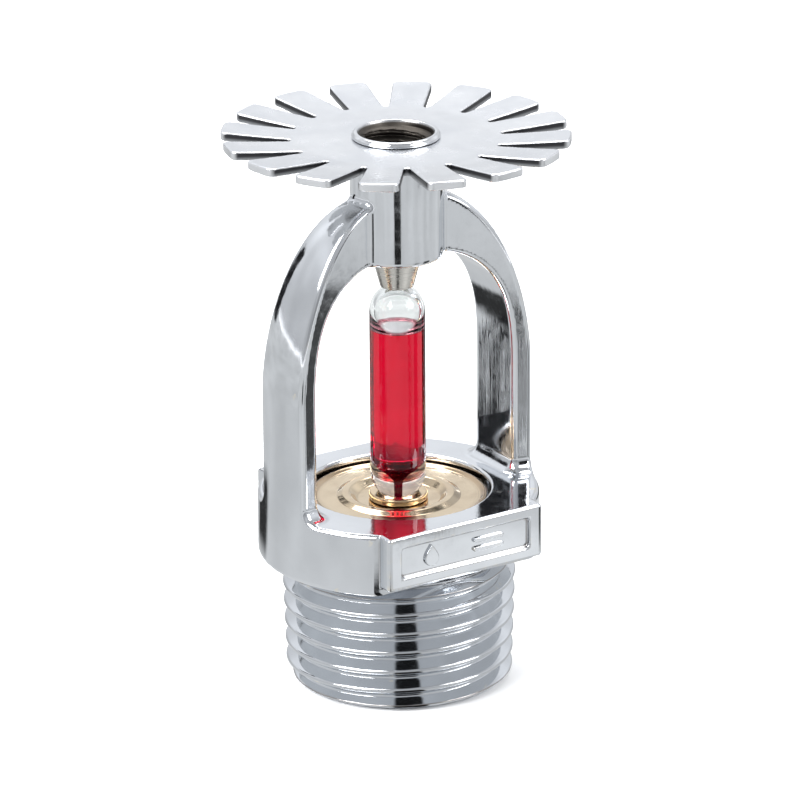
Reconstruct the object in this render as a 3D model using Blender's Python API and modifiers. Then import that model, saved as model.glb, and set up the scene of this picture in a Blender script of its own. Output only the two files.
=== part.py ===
"""Pendent glass-bulb fire sprinkler head, standing on its inlet thread.

Origin: centre of the inlet end face. +Z runs up the axis to the deflector.
The two frame arms lie in the XZ plane and the wrench faces look along +Y and -Y.
Dimensions below are in millimetres and turned into metres by MM.
"""

import math

import bmesh
import bpy
from mathutils import Matrix, Vector

MM = 0.001

# ---------------------------------------------------------------- driving dimensions (mm)
# Pipe thread R 1/2: 14 threads per inch, 55 degree flanks, taper 1 in 16 on the diameter
THREAD_PITCH = 25.4 / 14
THREAD_MAJOR_R = 20.955 / 2
THREAD_DEPTH = 1.162
THREAD_GAUGE_Z = 8.2
THREAD_TAPER = 1 / 32
THREAD_FLANK = math.radians(27.5)
THREAD_CREST = 0.3
THREAD_TOP_Z = 11.4
THREAD_END_CHAMFER = 0.8
NECK_R = 9.25

# Body: a turned envelope trimmed to the base and the two arms
BASE_BOTTOM_Z = 12.0
BASE_TOP_Z = 17.8
BODY_R = 12.66
FLAT_Y = 9.6
DOME_START_Z = 28.5
DOME_HEIGHT = 17.25
DOME_POWER_R = 2.557
DOME_POWER_Z = 1.744
ARM_HALF_WIDTH = 3.5
CROWN_HALF_WIDTH = 1.8
ARM_FOOT_FILLET = 1.5

# Window between the arms
WINDOW_HALF_WIDTH = 10.4
WINDOW_ARCH_Z = 27.9
WINDOW_ARCH_HEIGHT = 12.05
WINDOW_POWER = 2.746
WINDOW_FILLET = 1.2

# Wrench faces: one raised plate with a recessed field on each flat
PLATE_Y = 11.0
PLATE_HALF_LENGTH = 8.15
PLATE_BOTTOM_Z = 12.85
PLATE_BEVEL = 0.3
FIELD_HALF_LENGTH = 6.75
FIELD_HALF_HEIGHT = 1.4
FIELD_DEPTH = 0.4

# Boss that holds the compression screw, and the nose peened over the deflector
BOSS_R = 4.1
BOSS_BOTTOM_Z = 39.6
BOSS_TOP_Z = 49.7
BOSS_CHAMFER = 0.3
NOSE_R = 3.5
NOSE_FLANGE_Z = 50.55
NOSE_FLANGE_R = 3.95
OVERALL_TOP_Z = 51.05
SCREW_BORE_R = 3.0
BORE_MOUTH_R = 3.35

# Waterway through the base
INLET_R = 7.2
INLET_STRAIGHT_Z = 3.0
ORIFICE_R = 6.2
ORIFICE_Z = 11.0
SEAT_LEDGE_Z = 14.9
SEAT_BORE_R = 8.3

# Deflector
DEFLECTOR_R = 15.4
DEFLECTOR_HOLE_R = 3.58
DEFLECTOR_BOTTOM_Z = 49.75
DEFLECTOR_TOP_Z = 50.5
DEFLECTOR_BEND_R = 9.0
DEFLECTOR_RIM_RISE = 0.55
SLOT_COUNT = 16
SLOT_PHASE = math.radians(-5.0)
SLOT_INNER_R = 9.3
SLOT_INNER_HALF_WIDTH = 0.25
SLOT_OUTER_HALF_WIDTH = 1.15
TINE_CORNER_R = 0.5

# Compression screw
SCREW_R = 2.93
SCREW_TOP_Z = 46.4
SCREW_CONE_TOP_Z = 39.5
SCREW_CONE_R = 2.2
SCREW_TIP_Z = 36.75
SCREW_TIP_R = 1.5
SCREW_CUP_R = 1.25
SCREW_CUP_DEPTH = 0.35
SOCKET_FLATS = 3.0
SOCKET_DEPTH = 2.6

# Glass bulb and the liquid in it
BULB_R = 2.5
BULB_WALL = 0.5
BULB_TOP_Z = 36.95
BULB_TOP_FLAT_R = 0.7
BULB_SHOULDER_Z = 34.4
BULB_END_CENTRE_Z = 19.2
BULB_TIP_R = 0.55
BULB_TIP_Z = 16.25
CAVITY_TOP_Z = 36.3
CAVITY_SHOULDER_Z = 34.4
CAVITY_FUNNEL_TOP_Z = 20.1
CAVITY_FUNNEL_LOW_Z = 18.1
CAVITY_STEM_R = 0.3
LIQUID_LEVEL_Z = 32.66
LIQUID_GAP = 0.04
LIQUID_BOTTOM_Z = 16.6

# Seat for the bulb's round end
SEAT_FLANGE_R = 2.65
SEAT_RIM_Z = 17.35
SEAT_RIM_INNER_R = 1.75
SEAT_FLANGE_BOTTOM_Z = 16.7
SEAT_STEM_R = 1.45
SEAT_STEM_BOTTOM_Z = 15.1
SEAT_GAP = 0.06
SEAT_HOLE_R = 0.75
SEAT_HOLE_BOTTOM_Z = 15.95

# Valve cap: the dished disc that closes the waterway
CAP_R = 7.95
CAP_HOLE_R = 1.55
CAP_BOTTOM_Z = 16.12
CAP_CENTRE_Z = 16.65
CAP_RING_INNER_R = 3.9
CAP_RING_R = 4.7
CAP_RING_OUTER_R = 5.5
CAP_RING_Z = 17.25
CAP_FIELD_Z = 16.95
CAP_LIP_INNER_R = 7.4
CAP_LIP_Z = 17.2

# Conical disc spring with a sealing film on each face
SPRING_INNER_R = 2.2
SPRING_OUTER_R = 7.8
SPRING_RISE = 0.45
FILM_THICKNESS = 0.1
FILM_OUTER_R = 8.0
SPRING_THICKNESS = 0.42
STACK_GAP = 0.03

COARSE_STEPS = 32
ROUND_STEPS = 48
BODY_STEPS = 64
THREAD_STEPS_PER_TURN = 36
SMOOTH_ANGLE = math.radians(35)
WELD_DISTANCE = 1e-7


# ---------------------------------------------------------------- scene and object helpers
def clear_scene():
    for obj in list(bpy.data.objects):
        bpy.data.objects.remove(obj, do_unlink=True)


def make_collection(name, hidden):
    collection = bpy.data.collections.new(name)
    collection.hide_render = hidden
    bpy.context.scene.collection.children.link(collection)
    return collection


def make_material(name, colour, roughness, metallic, transmission=0.0):
    material = bpy.data.materials.new(name)
    material.use_nodes = True
    shader = material.node_tree.nodes["Principled BSDF"]
    shader.inputs["Base Color"].default_value = (*colour, 1.0)
    shader.inputs["Roughness"].default_value = roughness
    shader.inputs["Metallic"].default_value = metallic
    shader.inputs["Transmission Weight"].default_value = transmission
    material.diffuse_color = (*colour, 1.0)
    return material


def link_mesh(name, bm):
    """A helper object that holds the bmesh, drawn as wire and left out of the render."""
    mesh = bpy.data.meshes.new(name)
    bm.to_mesh(mesh)
    bm.free()
    obj = bpy.data.objects.new(name, mesh)
    obj.hide_render = True
    obj.display_type = "WIRE"
    HELPERS.objects.link(obj)
    return obj


def turned(name, profile, steps, closed=False):
    """A solid of revolution about Z. The profile (r, z) runs top to bottom down the outer side."""
    bm = bmesh.new()
    verts = [bm.verts.new((r * MM, 0.0, z * MM)) for r, z in profile]
    for a, b in zip(verts, verts[1:]):
        bm.edges.new((a, b))
    if closed:
        bm.edges.new((verts[-1], verts[0]))
    obj = link_mesh(name, bm)
    screw = obj.modifiers.new("Turn", "SCREW")
    screw.steps = steps
    screw.render_steps = steps
    screw.use_merge_vertices = True
    screw.merge_threshold = WELD_DISTANCE
    return obj


def extruded(name, outline, half_depth):
    """An outline (x, z) seen along Y, extruded both ways along Y."""
    curve = bpy.data.curves.new(name, "CURVE")
    curve.dimensions = "2D"
    curve.fill_mode = "BOTH"
    curve.extrude = half_depth * MM
    spline = curve.splines.new("POLY")
    spline.points.add(len(outline) - 1)
    for point, (x, z) in zip(spline.points, outline):
        point.co = (x * MM, z * MM, 0.0, 1.0)
    spline.use_cyclic_u = True
    source = bpy.data.objects.new(name + "_outline", curve)
    HELPERS.objects.link(source)
    source.matrix_world = Matrix.Rotation(math.pi / 2, 4, "X")
    obj = mesh_copy(source, name)
    bpy.data.objects.remove(source, do_unlink=True)
    return obj


def mesh_copy(source, name):
    """The evaluated shape of an object as a welded mesh object of its own."""
    bpy.context.view_layer.update()
    graph = bpy.context.evaluated_depsgraph_get()
    mesh = bpy.data.meshes.new_from_object(source.evaluated_get(graph))
    bm = bmesh.new()
    bm.from_mesh(mesh)
    bmesh.ops.remove_doubles(bm, verts=bm.verts, dist=WELD_DISTANCE)
    bm.to_mesh(mesh)
    bm.free()
    obj = bpy.data.objects.new(name, mesh)
    obj.matrix_world = source.matrix_world
    obj.hide_render = True
    obj.display_type = "WIRE"
    HELPERS.objects.link(obj)
    return obj


def box(name, low, high):
    bm = bmesh.new()
    bmesh.ops.create_cube(bm, size=1.0)
    low = Vector(low) * MM
    high = Vector(high) * MM
    for vert in bm.verts:
        for axis in range(3):
            vert.co[axis] = low[axis] if vert.co[axis] < 0 else high[axis]
    return link_mesh(name, bm)


def boolean(target, other, operation):
    modifier = target.modifiers.new(operation.title() + " " + other.name, "BOOLEAN")
    modifier.operation = operation
    modifier.object = other
    modifier.solver = "EXACT"


def finished(shape, name, material):
    """The node itself: the shape's evaluated mesh, welded, shaded and given its material."""
    obj = mesh_copy(shape, name)
    HELPERS.objects.unlink(obj)
    PARTS.objects.link(obj)
    obj.hide_render = False
    obj.display_type = "TEXTURED"
    obj.data.materials.clear()
    obj.data.materials.append(material)
    obj.data.shade_smooth()
    obj.data.set_sharp_from_angle(angle=SMOOTH_ANGLE)
    return obj


def arc(centre, radius, start, end, count):
    """Points on a circular arc in the profile plane, angles in degrees from +r towards +z."""
    points = []
    for i in range(count + 1):
        angle = math.radians(start + (end - start) * i / count)
        points.append((centre[0] + radius * math.cos(angle), centre[1] + radius * math.sin(angle)))
    return points


def superellipse(half_width, height, power_r, power_z, count):
    """Quarter outline from the apex (0, height) to (half_width, 0)."""
    points = []
    for i in range(count + 1):
        angle = math.pi / 2 * (1 - i / count)
        r = half_width * max(math.cos(angle), 0.0) ** (2 / power_r)
        z = height * max(math.sin(angle), 0.0) ** (2 / power_z)
        points.append((r, z))
    return points


# ---------------------------------------------------------------- frame
def thread_shape():
    """Right-hand tapered pipe thread: a helical tooth on a core, trimmed to its length."""
    half_root = THREAD_CREST / 2 + THREAD_DEPTH * math.tan(THREAD_FLANK)
    root_r = THREAD_MAJOR_R - THREAD_DEPTH
    buried_r = root_r - 0.4
    turns = math.ceil(THREAD_TOP_Z / THREAD_PITCH) + 2
    bm = bmesh.new()
    section = [
        (buried_r, -half_root),
        (root_r, -half_root),
        (THREAD_MAJOR_R, -THREAD_CREST / 2),
        (THREAD_MAJOR_R, THREAD_CREST / 2),
        (root_r, half_root),
        (buried_r, half_root),
    ]
    start_z = -THREAD_PITCH
    verts = [bm.verts.new((r * MM, 0.0, (start_z + z) * MM)) for r, z in section]
    face = bm.faces.new(verts)
    steps = turns * THREAD_STEPS_PER_TURN
    bmesh.ops.spin(
        bm,
        geom=[face, *face.edges, *face.verts],
        cent=(0, 0, 0),
        axis=(0, 0, 1),
        dvec=(0, 0, THREAD_PITCH / THREAD_STEPS_PER_TURN * MM),
        angle=2 * math.pi * turns,
        steps=steps,
    )
    for vert in bm.verts:
        radius = math.hypot(vert.co.x, vert.co.y)
        taper = (vert.co.z - THREAD_GAUGE_Z * MM) * THREAD_TAPER
        vert.co.x *= (radius + taper) / radius
        vert.co.y *= (radius + taper) / radius
    bmesh.ops.recalc_face_normals(bm, faces=bm.faces)
    tooth = link_mesh("thread_tooth", bm)

    low_r = root_r - THREAD_GAUGE_Z * THREAD_TAPER
    high_r = root_r + (THREAD_TOP_Z - THREAD_GAUGE_Z) * THREAD_TAPER
    core = turned(
        "thread_core",
        [(0, THREAD_TOP_Z + 3), (high_r, THREAD_TOP_Z + 3), (high_r, THREAD_TOP_Z), (low_r, 0), (low_r, -3), (0, -3)],
        BODY_STEPS,
    )
    boolean(tooth, core, "UNION")

    reach = THREAD_MAJOR_R + 1
    end_r = low_r + 0.25
    trim = turned(
        "thread_trim",
        [
            (0, BASE_BOTTOM_Z + 1),
            (NECK_R, BASE_BOTTOM_Z + 1),
            (NECK_R, THREAD_TOP_Z + 0.25),
            (THREAD_MAJOR_R + 0.2, THREAD_TOP_Z - THREAD_DEPTH * 0.6),
            (reach, THREAD_TOP_Z - THREAD_DEPTH),
            (reach, THREAD_END_CHAMFER + 0.9),
            (end_r, 0),
            (0, 0),
        ],
        BODY_STEPS,
    )
    boolean(tooth, trim, "INTERSECT")
    return mesh_copy(tooth, "thread")


def envelope_shape():
    """Turned outer envelope of the base and the arms."""
    dome = superellipse(BODY_R, DOME_HEIGHT, DOME_POWER_R, DOME_POWER_Z, 12)
    profile = [(r, z + DOME_START_Z) for r, z in dome]
    profile += [
        (BODY_R, BASE_BOTTOM_Z + 0.5),
        (BODY_R - 0.5, BASE_BOTTOM_Z),
        (0, BASE_BOTTOM_Z),
    ]
    return turned("envelope", profile, BODY_STEPS)


def arm_half_width(x):
    """The arms are a keystone seen from above: narrow at the boss and wide at the outer face."""
    slope = (ARM_HALF_WIDTH - CROWN_HALF_WIDTH) / (BODY_R - BOSS_R)
    return CROWN_HALF_WIDTH + (abs(x) - BOSS_R) * slope


def arms_shape(reach):
    """Upright prism of the bow-tie plan of both arms, flared by a fillet where it meets the base."""
    sections = [(ARM_FOOT_FILLET, BASE_TOP_Z - 2)]
    for offset, z in arc((ARM_FOOT_FILLET, BASE_TOP_Z + ARM_FOOT_FILLET), ARM_FOOT_FILLET, 270, 180, 4):
        sections.append((offset, z))
    sections.append((0.0, OVERALL_TOP_Z))
    plan = [(reach, 1), (0.0, 1), (-reach, 1), (-reach, -1), (0.0, -1), (reach, -1)]
    bm = bmesh.new()
    rings = []
    for offset, z in sections:
        ring = [(x * MM, side * (arm_half_width(x) + offset) * MM, z * MM) for x, side in plan]
        rings.append([bm.verts.new(point) for point in ring])
    bm.faces.new(rings[0])
    bm.faces.new(list(reversed(rings[-1])))
    for lower, upper in zip(rings, rings[1:]):
        for i in range(len(plan)):
            j = (i + 1) % len(plan)
            bm.faces.new((lower[i], upper[i], upper[j], lower[j]))
    bmesh.ops.recalc_face_normals(bm, faces=bm.faces)
    return link_mesh("arms", bm)


def base_and_arms_shape(reach):
    """The base block between its flats, with the arms standing on it."""
    block = box("base_block", (-reach, -FLAT_Y, BASE_BOTTOM_Z - 1), (reach, FLAT_Y, BASE_TOP_Z))
    boolean(block, arms_shape(reach), "UNION")
    return mesh_copy(block, "base_and_arms")


def window_outline():
    """Half outline of the window seen along Y, from its floor up to the boss."""
    arch = superellipse(WINDOW_HALF_WIDTH, WINDOW_ARCH_HEIGHT, WINDOW_POWER, WINDOW_POWER, 10)
    arch = [(x, z + WINDOW_ARCH_Z) for x, z in arch]
    side = [point for point in reversed(arch) if point[1] < BOSS_BOTTOM_Z - 0.1]
    corner = (WINDOW_HALF_WIDTH - WINDOW_FILLET, BASE_TOP_Z + WINDOW_FILLET)
    return [
        *arc(corner, WINDOW_FILLET, 270, 360, 4),
        *side,
        (BOSS_R - 0.1, BOSS_BOTTOM_Z),
    ]


def mirrored(half):
    return half + [(-across, z) for across, z in reversed(half)]


def boss_shape():
    """Boss under the deflector and the nose peened over it."""
    return turned(
        "boss",
        [
            (0, OVERALL_TOP_Z),
            (NOSE_FLANGE_R - 0.35, OVERALL_TOP_Z),
            (NOSE_FLANGE_R - 0.08, OVERALL_TOP_Z - 0.12),
            (NOSE_FLANGE_R, OVERALL_TOP_Z - 0.3),
            (NOSE_FLANGE_R - 0.05, NOSE_FLANGE_Z),
            (NOSE_R, NOSE_FLANGE_Z),
            (NOSE_R, BOSS_TOP_Z),
            (BOSS_R, BOSS_TOP_Z),
            (BOSS_R, BOSS_BOTTOM_Z + BOSS_CHAMFER),
            (BOSS_R - BOSS_CHAMFER, BOSS_BOTTOM_Z),
            (0, BOSS_BOTTOM_Z),
        ],
        ROUND_STEPS,
    )


def plate_shape(side):
    """One wrench-face plate with its recessed field; side is +1 or -1 along Y."""
    inner_y = side * (FLAT_Y - 1.0)
    outer_y = side * PLATE_Y
    name = "plate_front" if side < 0 else "plate_back"
    plate = box(
        name,
        (-PLATE_HALF_LENGTH, min(inner_y, outer_y), PLATE_BOTTOM_Z),
        (PLATE_HALF_LENGTH, max(inner_y, outer_y), BASE_TOP_Z),
    )
    bevel = plate.modifiers.new("Edge break", "BEVEL")
    bevel.width = PLATE_BEVEL * MM
    bevel.segments = 1
    floor_y = side * (PLATE_Y - FIELD_DEPTH)
    clear_y = side * (PLATE_Y + 1.0)
    middle_z = (PLATE_BOTTOM_Z + BASE_TOP_Z) / 2
    field = box(
        name + "_field",
        (-FIELD_HALF_LENGTH, min(floor_y, clear_y), middle_z - FIELD_HALF_HEIGHT),
        (FIELD_HALF_LENGTH, max(floor_y, clear_y), middle_z + FIELD_HALF_HEIGHT),
    )
    boolean(plate, field, "DIFFERENCE")
    return mesh_copy(plate, name + "_solid")


def waterway_shape():
    """Cutter for the inlet, the orifice and the seat of the valve."""
    return turned(
        "waterway",
        [
            (0, BASE_TOP_Z + 1),
            (SEAT_BORE_R + 0.25, BASE_TOP_Z + 1),
            (SEAT_BORE_R + 0.25, BASE_TOP_Z),
            (SEAT_BORE_R, BASE_TOP_Z - 0.25),
            (SEAT_BORE_R, SEAT_LEDGE_Z),
            (ORIFICE_R, SEAT_LEDGE_Z),
            (ORIFICE_R, ORIFICE_Z),
            (INLET_R, INLET_STRAIGHT_Z),
            (INLET_R, 0.4),
            (INLET_R + 0.4, 0),
            (INLET_R + 0.4, -1),
            (0, -1),
        ],
        ROUND_STEPS,
    )


def screw_bore_shape():
    return turned(
        "screw_bore",
        [
            (0, OVERALL_TOP_Z + 1),
            (BORE_MOUTH_R, OVERALL_TOP_Z + 1),
            (BORE_MOUTH_R, OVERALL_TOP_Z),
            (SCREW_BORE_R, OVERALL_TOP_Z - 0.35),
            (SCREW_BORE_R, BOSS_BOTTOM_Z - 1),
            (0, BOSS_BOTTOM_Z - 1),
        ],
        ROUND_STEPS,
    )


def make_frame(material):
    body = envelope_shape()
    reach = BODY_R + 2
    boolean(body, base_and_arms_shape(reach), "INTERSECT")
    boolean(body, extruded("window", mirrored(window_outline()), reach), "DIFFERENCE")
    boolean(body, boss_shape(), "UNION")
    boolean(body, plate_shape(-1), "UNION")
    boolean(body, plate_shape(1), "UNION")
    boolean(body, thread_shape(), "UNION")
    boolean(body, waterway_shape(), "DIFFERENCE")
    boolean(body, screw_bore_shape(), "DIFFERENCE")
    return finished(body, "frame", material)


# ---------------------------------------------------------------- deflector
def slot_outline():
    """Half outline of one slot with its flared mouth, (half width, radius)."""
    mouth_r = DEFLECTOR_R - TINE_CORNER_R
    slope = math.atan2(SLOT_OUTER_HALF_WIDTH - SLOT_INNER_HALF_WIDTH, mouth_r - SLOT_INNER_R)
    end = arc((0, SLOT_INNER_R + SLOT_INNER_HALF_WIDTH), SLOT_INNER_HALF_WIDTH, 270, 360, 3)[1:]
    corner = arc(
        (SLOT_OUTER_HALF_WIDTH + TINE_CORNER_R, mouth_r), TINE_CORNER_R, 180 - math.degrees(slope), 95, 4
    )
    return [*end, *corner, (SLOT_OUTER_HALF_WIDTH + TINE_CORNER_R, DEFLECTOR_R + 1)]


def slots_shape():
    """All the slots as one cutter: prisms standing along Z."""
    bm = bmesh.new()
    outline = mirrored(slot_outline())
    low = (DEFLECTOR_BOTTOM_Z - 2) * MM
    rise = 5 * MM
    for i in range(SLOT_COUNT):
        angle = SLOT_PHASE + 2 * math.pi * i / SLOT_COUNT
        outward = Vector((math.cos(angle), math.sin(angle), 0.0))
        across = Vector((-outward.y, outward.x, 0.0))
        corners = [bm.verts.new(outward * r * MM + across * w * MM + Vector((0, 0, low))) for w, r in outline]
        face = bm.faces.new(corners)
        made = bmesh.ops.extrude_face_region(bm, geom=[face])["geom"]
        for element in made:
            if isinstance(element, bmesh.types.BMVert):
                element.co.z += rise
    bmesh.ops.recalc_face_normals(bm, faces=bm.faces)
    return link_mesh("deflector_slots", bm)


def make_deflector(material):
    edge = 0.12
    rim = DEFLECTOR_RIM_RISE
    disc = turned(
        "deflector_disc",
        [
            (DEFLECTOR_HOLE_R, DEFLECTOR_TOP_Z),
            (DEFLECTOR_BEND_R, DEFLECTOR_TOP_Z),
            (DEFLECTOR_R - edge, DEFLECTOR_TOP_Z + rim),
            (DEFLECTOR_R, DEFLECTOR_TOP_Z + rim - edge),
            (DEFLECTOR_R, DEFLECTOR_BOTTOM_Z + rim + edge),
            (DEFLECTOR_R - edge, DEFLECTOR_BOTTOM_Z + rim),
            (DEFLECTOR_BEND_R, DEFLECTOR_BOTTOM_Z),
            (DEFLECTOR_HOLE_R, DEFLECTOR_BOTTOM_Z),
        ],
        BODY_STEPS,
        closed=True,
    )
    boolean(disc, slots_shape(), "DIFFERENCE")
    return finished(disc, "deflector", material)


# ---------------------------------------------------------------- compression screw
def make_compression_screw(material):
    body = turned(
        "screw_body",
        [
            (0, SCREW_TOP_Z),
            (SCREW_R - 0.35, SCREW_TOP_Z),
            (SCREW_R, SCREW_TOP_Z - 0.35),
            (SCREW_R, SCREW_CONE_TOP_Z + 0.3),
            (SCREW_CONE_R, SCREW_CONE_TOP_Z),
            (SCREW_TIP_R, SCREW_TIP_Z),
            (SCREW_CUP_R, SCREW_TIP_Z),
            (SCREW_CUP_R * 0.75, SCREW_TIP_Z + SCREW_CUP_DEPTH),
            (0, SCREW_TIP_Z + SCREW_CUP_DEPTH),
        ],
        COARSE_STEPS,
    )
    bm = bmesh.new()
    across_corners = SOCKET_FLATS / math.sqrt(3) * MM
    bmesh.ops.create_cone(
        bm,
        cap_ends=True,
        segments=6,
        radius1=across_corners,
        radius2=across_corners,
        depth=2 * SOCKET_DEPTH * MM,
        matrix=Matrix.Translation((0, 0, SCREW_TOP_Z * MM)),
    )
    boolean(body, link_mesh("hex_socket", bm), "DIFFERENCE")
    return finished(body, "compression_screw", material)


# ---------------------------------------------------------------- bulb
def bulb_outer_profile():
    """Outer side of the glass, top to bottom: flattened dome, cylinder, round end and drawn tip."""
    shoulder = superellipse(BULB_R, BULB_TOP_Z - BULB_SHOULDER_Z, 2.0, 2.0, 8)
    dome = [(r, z + BULB_SHOULDER_Z) for r, z in shoulder if r >= BULB_TOP_FLAT_R]
    tip_angle = math.degrees(math.acos(BULB_TIP_R / BULB_R))
    end = arc((0, BULB_END_CENTRE_Z), BULB_R, 0, -tip_angle, 7)
    return [*dome, *end, (BULB_TIP_R, BULB_TIP_Z + 0.1), (BULB_TIP_R - 0.1, BULB_TIP_Z)]


def cavity_profile(offset, top_z, bottom_z):
    """Outer side of the hollow, or of the liquid when offset inwards, top to bottom."""
    radius = BULB_R - BULB_WALL - offset
    points = []
    if top_z > CAVITY_SHOULDER_Z:
        shoulder = superellipse(radius, top_z - CAVITY_SHOULDER_Z, 2.0, 2.0, 5)
        points += [(r, z + CAVITY_SHOULDER_Z) for r, z in shoulder if r > 0.1]
    else:
        points.append((radius, top_z))
    drop = CAVITY_FUNNEL_TOP_Z - CAVITY_FUNNEL_LOW_Z
    stem = CAVITY_STEM_R - offset
    for i in range(6):
        share = i / 5
        sweep = 0.5 + 0.5 * math.cos(math.pi * share)
        points.append((stem + (radius - stem) * sweep, CAVITY_FUNNEL_TOP_Z - drop * share))
    points.append((stem, bottom_z))
    return points


def make_bulb_glass(material):
    """The glass, hollow right through its drawn tip so that the hollow is not sealed."""
    outer = bulb_outer_profile()
    inner = cavity_profile(0.0, CAVITY_TOP_Z, BULB_TIP_Z)
    profile = [(0, BULB_TOP_Z), *outer, *reversed(inner), (0, CAVITY_TOP_Z)]
    return finished(turned("bulb_turned", profile, COARSE_STEPS), "bulb_glass", material)


def make_bulb_liquid(material):
    side = cavity_profile(LIQUID_GAP, LIQUID_LEVEL_Z, LIQUID_BOTTOM_Z)
    profile = [(0, LIQUID_LEVEL_Z), *side, (0, LIQUID_BOTTOM_Z)]
    return finished(turned("liquid_turned", profile, COARSE_STEPS), "bulb_liquid", material)


# ---------------------------------------------------------------- valve stack
def make_bulb_seat(material):
    """Flanged cup that carries the bulb's round end, with a stem through the cap and spring."""
    cup_r = BULB_R + SEAT_GAP
    rim_angle = math.degrees(math.asin(SEAT_RIM_INNER_R / cup_r))
    hole_angle = math.degrees(math.asin(SEAT_HOLE_R / cup_r))
    cup = arc((0, BULB_END_CENTRE_Z), cup_r, -90 + hole_angle, -90 + rim_angle, 4)[:-1]
    profile = [
        (SEAT_RIM_INNER_R, SEAT_RIM_Z),
        (SEAT_FLANGE_R - 0.12, SEAT_RIM_Z),
        (SEAT_FLANGE_R, SEAT_RIM_Z - 0.12),
        (SEAT_FLANGE_R, SEAT_FLANGE_BOTTOM_Z),
        (SEAT_STEM_R, SEAT_FLANGE_BOTTOM_Z),
        (SEAT_STEM_R, SEAT_STEM_BOTTOM_Z + 0.2),
        (SEAT_STEM_R - 0.2, SEAT_STEM_BOTTOM_Z),
        (0, SEAT_STEM_BOTTOM_Z),
    ]
    inner = [(0, SEAT_HOLE_BOTTOM_Z), (SEAT_HOLE_R, SEAT_HOLE_BOTTOM_Z), *cup]
    return finished(turned("seat_turned", inner + profile, COARSE_STEPS), "bulb_seat", material)


def make_pip_cap(material):
    """Dished disc with one embossed ring, flat underneath."""
    slope = 0.18
    profile = [
        (CAP_HOLE_R, CAP_CENTRE_Z),
        (CAP_RING_INNER_R, CAP_CENTRE_Z),
        (CAP_RING_R - slope, CAP_RING_Z),
        (CAP_RING_R + slope, CAP_RING_Z),
        (CAP_RING_OUTER_R, CAP_FIELD_Z),
        (CAP_LIP_INNER_R, CAP_FIELD_Z),
        (CAP_R - slope, CAP_LIP_Z),
        (CAP_R, CAP_LIP_Z - 0.1),
        (CAP_R, CAP_BOTTOM_Z + 0.1),
        (CAP_R - 0.1, CAP_BOTTOM_Z),
        (CAP_HOLE_R, CAP_BOTTOM_Z),
    ]
    return finished(turned("cap_turned", profile, ROUND_STEPS, closed=True), "pip_cap", material)


def cone_ring(name, inner_r, outer_r, bottom_z, thickness, material):
    """A conical washer that rises SPRING_RISE from SPRING_OUTER_R in to SPRING_INNER_R."""
    def rise(r):
        return SPRING_RISE * (SPRING_OUTER_R - r) / (SPRING_OUTER_R - SPRING_INNER_R)

    profile = [
        (inner_r, bottom_z + rise(inner_r) + thickness),
        (outer_r, bottom_z + rise(outer_r) + thickness),
        (outer_r, bottom_z + rise(outer_r)),
        (inner_r, bottom_z + rise(inner_r)),
    ]
    return finished(turned(name + "_turned", profile, ROUND_STEPS, closed=True), name, material)


def make_valve_stack(steel, film):
    lower_z = SEAT_LEDGE_Z + 2 * STACK_GAP
    spring_z = lower_z + FILM_THICKNESS + STACK_GAP
    upper_z = spring_z + SPRING_THICKNESS + STACK_GAP
    film_inner_r = SPRING_INNER_R + 0.2
    return [
        cone_ring("ptfe_film_lower", film_inner_r, FILM_OUTER_R, lower_z, FILM_THICKNESS, film),
        cone_ring("disc_spring", SPRING_INNER_R, SPRING_OUTER_R, spring_z, SPRING_THICKNESS, steel),
        cone_ring("ptfe_film_upper", film_inner_r, FILM_OUTER_R, upper_z, FILM_THICKNESS, film),
    ]


# ---------------------------------------------------------------- assembly
def joint_empty(name, children):
    """An empty on the sprinkler axis that carries the pieces of one moving group."""
    empty = bpy.data.objects.new(name, None)
    empty.empty_display_size = 5 * MM
    PARTS.objects.link(empty)
    for child in children:
        child.parent = empty
    return empty


clear_scene()
PARTS = make_collection("fire_sprinkler_head", False)
HELPERS = make_collection("helpers", True)

CHROME = make_material("chrome_plate", (0.78, 0.80, 0.82), 0.12, 1.0)
DEFLECTOR_CHROME = make_material("deflector_chrome", (0.80, 0.81, 0.83), 0.16, 1.0)
SCREW_METAL = make_material("nickelled_brass", (0.72, 0.68, 0.58), 0.25, 1.0)
GLASS = make_material("bulb_glass", (0.95, 0.96, 0.96), 0.02, 0.0, 1.0)
LIQUID = make_material("red_liquid", (0.65, 0.01, 0.03), 0.05, 0.0, 0.6)
SEAT_BRASS = make_material("seat_brass", (0.78, 0.62, 0.42), 0.2, 1.0)
CAP_BRASS = make_material("cap_brass", (0.80, 0.70, 0.52), 0.18, 1.0)
SPRING_STEEL = make_material("spring_steel", (0.55, 0.54, 0.52), 0.3, 1.0)
PTFE = make_material("ptfe_film", (0.88, 0.87, 0.84), 0.55, 0.0)

make_frame(CHROME)
make_deflector(DEFLECTOR_CHROME)
screw = make_compression_screw(SCREW_METAL)
bulb = [make_bulb_glass(GLASS), make_bulb_liquid(LIQUID)]
valve = [make_bulb_seat(SEAT_BRASS), make_pip_cap(CAP_BRASS), *make_valve_stack(SPRING_STEEL, PTFE)]
joint_empty("screw_axis", [screw])
joint_empty("bulb_axis", bulb)
joint_empty("valve_axis", valve)
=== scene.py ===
"""Visual model of a pendent glass-bulb fire sprinkler head, standing on its inlet thread.

Shapes are worked out in millimetres about the sprinkler axis, +Z from the inlet to the
deflector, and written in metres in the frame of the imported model.
"""

import math

import bpy
import numpy as np
from mathutils import Matrix, Vector


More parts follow.
